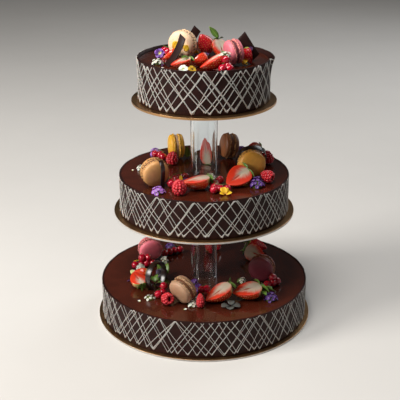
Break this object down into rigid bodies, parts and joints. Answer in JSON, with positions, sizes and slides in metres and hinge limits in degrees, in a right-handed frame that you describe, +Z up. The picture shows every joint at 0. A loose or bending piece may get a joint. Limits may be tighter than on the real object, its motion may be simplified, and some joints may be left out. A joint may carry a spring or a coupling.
{
  "type": "chocolate wedding cake",
  "caption": "Tiered chocolate wedding cake on clear pillars, with glazed tops, latticed chocolate collars and a garland of macarons, berries, chocolate curls and edible flowers.",
  "frame": {"origin": "on the cake's upright axis, at the underside of the bottom board", "axes": "+Z up through the tiers, -Y towards the shown front, +X to the right of the front view"},
  "size_m": [0.312, 0.312, 0.4168],
  "materials": {
    "glaze": "polished",
    "chocolate": "satin",
    "board_gold": "satin",
    "clear_acrylic": "polished",
    "strawberry": "gloss",
    "raspberry": "satin",
    "currant": "polished",
    "macaron_cream": "matte",
    "macaron_pink": "matte",
    "macaron_tan": "matte",
    "macaron_yellow": "matte",
    "macaron_brown": "matte",
    "macaron_mustard": "matte",
    "macaron_rose": "matte",
    "macaron_beige": "matte",
    "macaron_wine": "matte",
    "piping": "satin",
    "petals": "matte",
    "greens": "satin"
  },
  "bodies": {
    "root": {"bottom_board": "board_gold", "bottom_cake": "glaze", "bottom_collar": "chocolate", "bottom_curl_left": "chocolate", "bottom_currants_back": "currant", "bottom_currants_far": "currant", "bottom_currants_front": "currant", "bottom_currants_left": "currant", "bottom_currants_right": "currant", "bottom_macaron_beige": "macaron_beige", "bottom_macaron_pink": "macaron_rose", "bottom_macaron_wine": "macaron_wine", "bottom_pillar": "clear_acrylic", "bottom_raspberry_front": "raspberry", "bottom_raspberry_left": "raspberry", "bottom_strawberry_back": "strawberry", "bottom_strawberry_back_right": "strawberry", "bottom_strawberry_far": "strawberry", "bottom_strawberry_front": "strawberry", "bottom_strawberry_left": "strawberry", "bottom_strawberry_right": "strawberry", "bottom_strawberry_slice": "strawberry", "middle_board": "board_gold", "middle_cake": "glaze", "middle_collar": "chocolate", "middle_curl_left": "chocolate", "middle_curl_right": "chocolate", "middle_currants_back": "currant", "middle_currants_front": "currant", "middle_currants_left": "currant", "middle_macaron_brown": "macaron_brown", "middle_macaron_mustard": "macaron_mustard", "middle_macaron_tan": "macaron_tan", "middle_macaron_yellow": "macaron_yellow", "middle_pillar": "clear_acrylic", "middle_raspberry_far": "raspberry", "middle_raspberry_front": "raspberry", "middle_raspberry_left": "raspberry", "middle_raspberry_right": "raspberry", "middle_strawberry_back": "strawberry", "middle_strawberry_back_right": "strawberry", "middle_strawberry_front": "strawberry", "middle_strawberry_right": "strawberry", "top_board": "board_gold", "top_cake": "glaze", "top_collar": "chocolate", "top_curl_left": "chocolate", "top_currants_left": "currant", "top_currants_right": "currant", "top_macaron_cream": "macaron_cream", "top_macaron_pink": "macaron_pink", "top_plaque_back": "chocolate", "top_plaque_right": "chocolate", "top_strawberry_front": "strawberry", "top_strawberry_leafy": "strawberry", "top_strawberry_left": "strawberry", "top_strawberry_middle": "strawberry", "top_strawberry_right": "strawberry", "top_strawberry_slice": "strawberry", "top_strawberry_whole": "strawberry"}
  },
  "joints": []
}
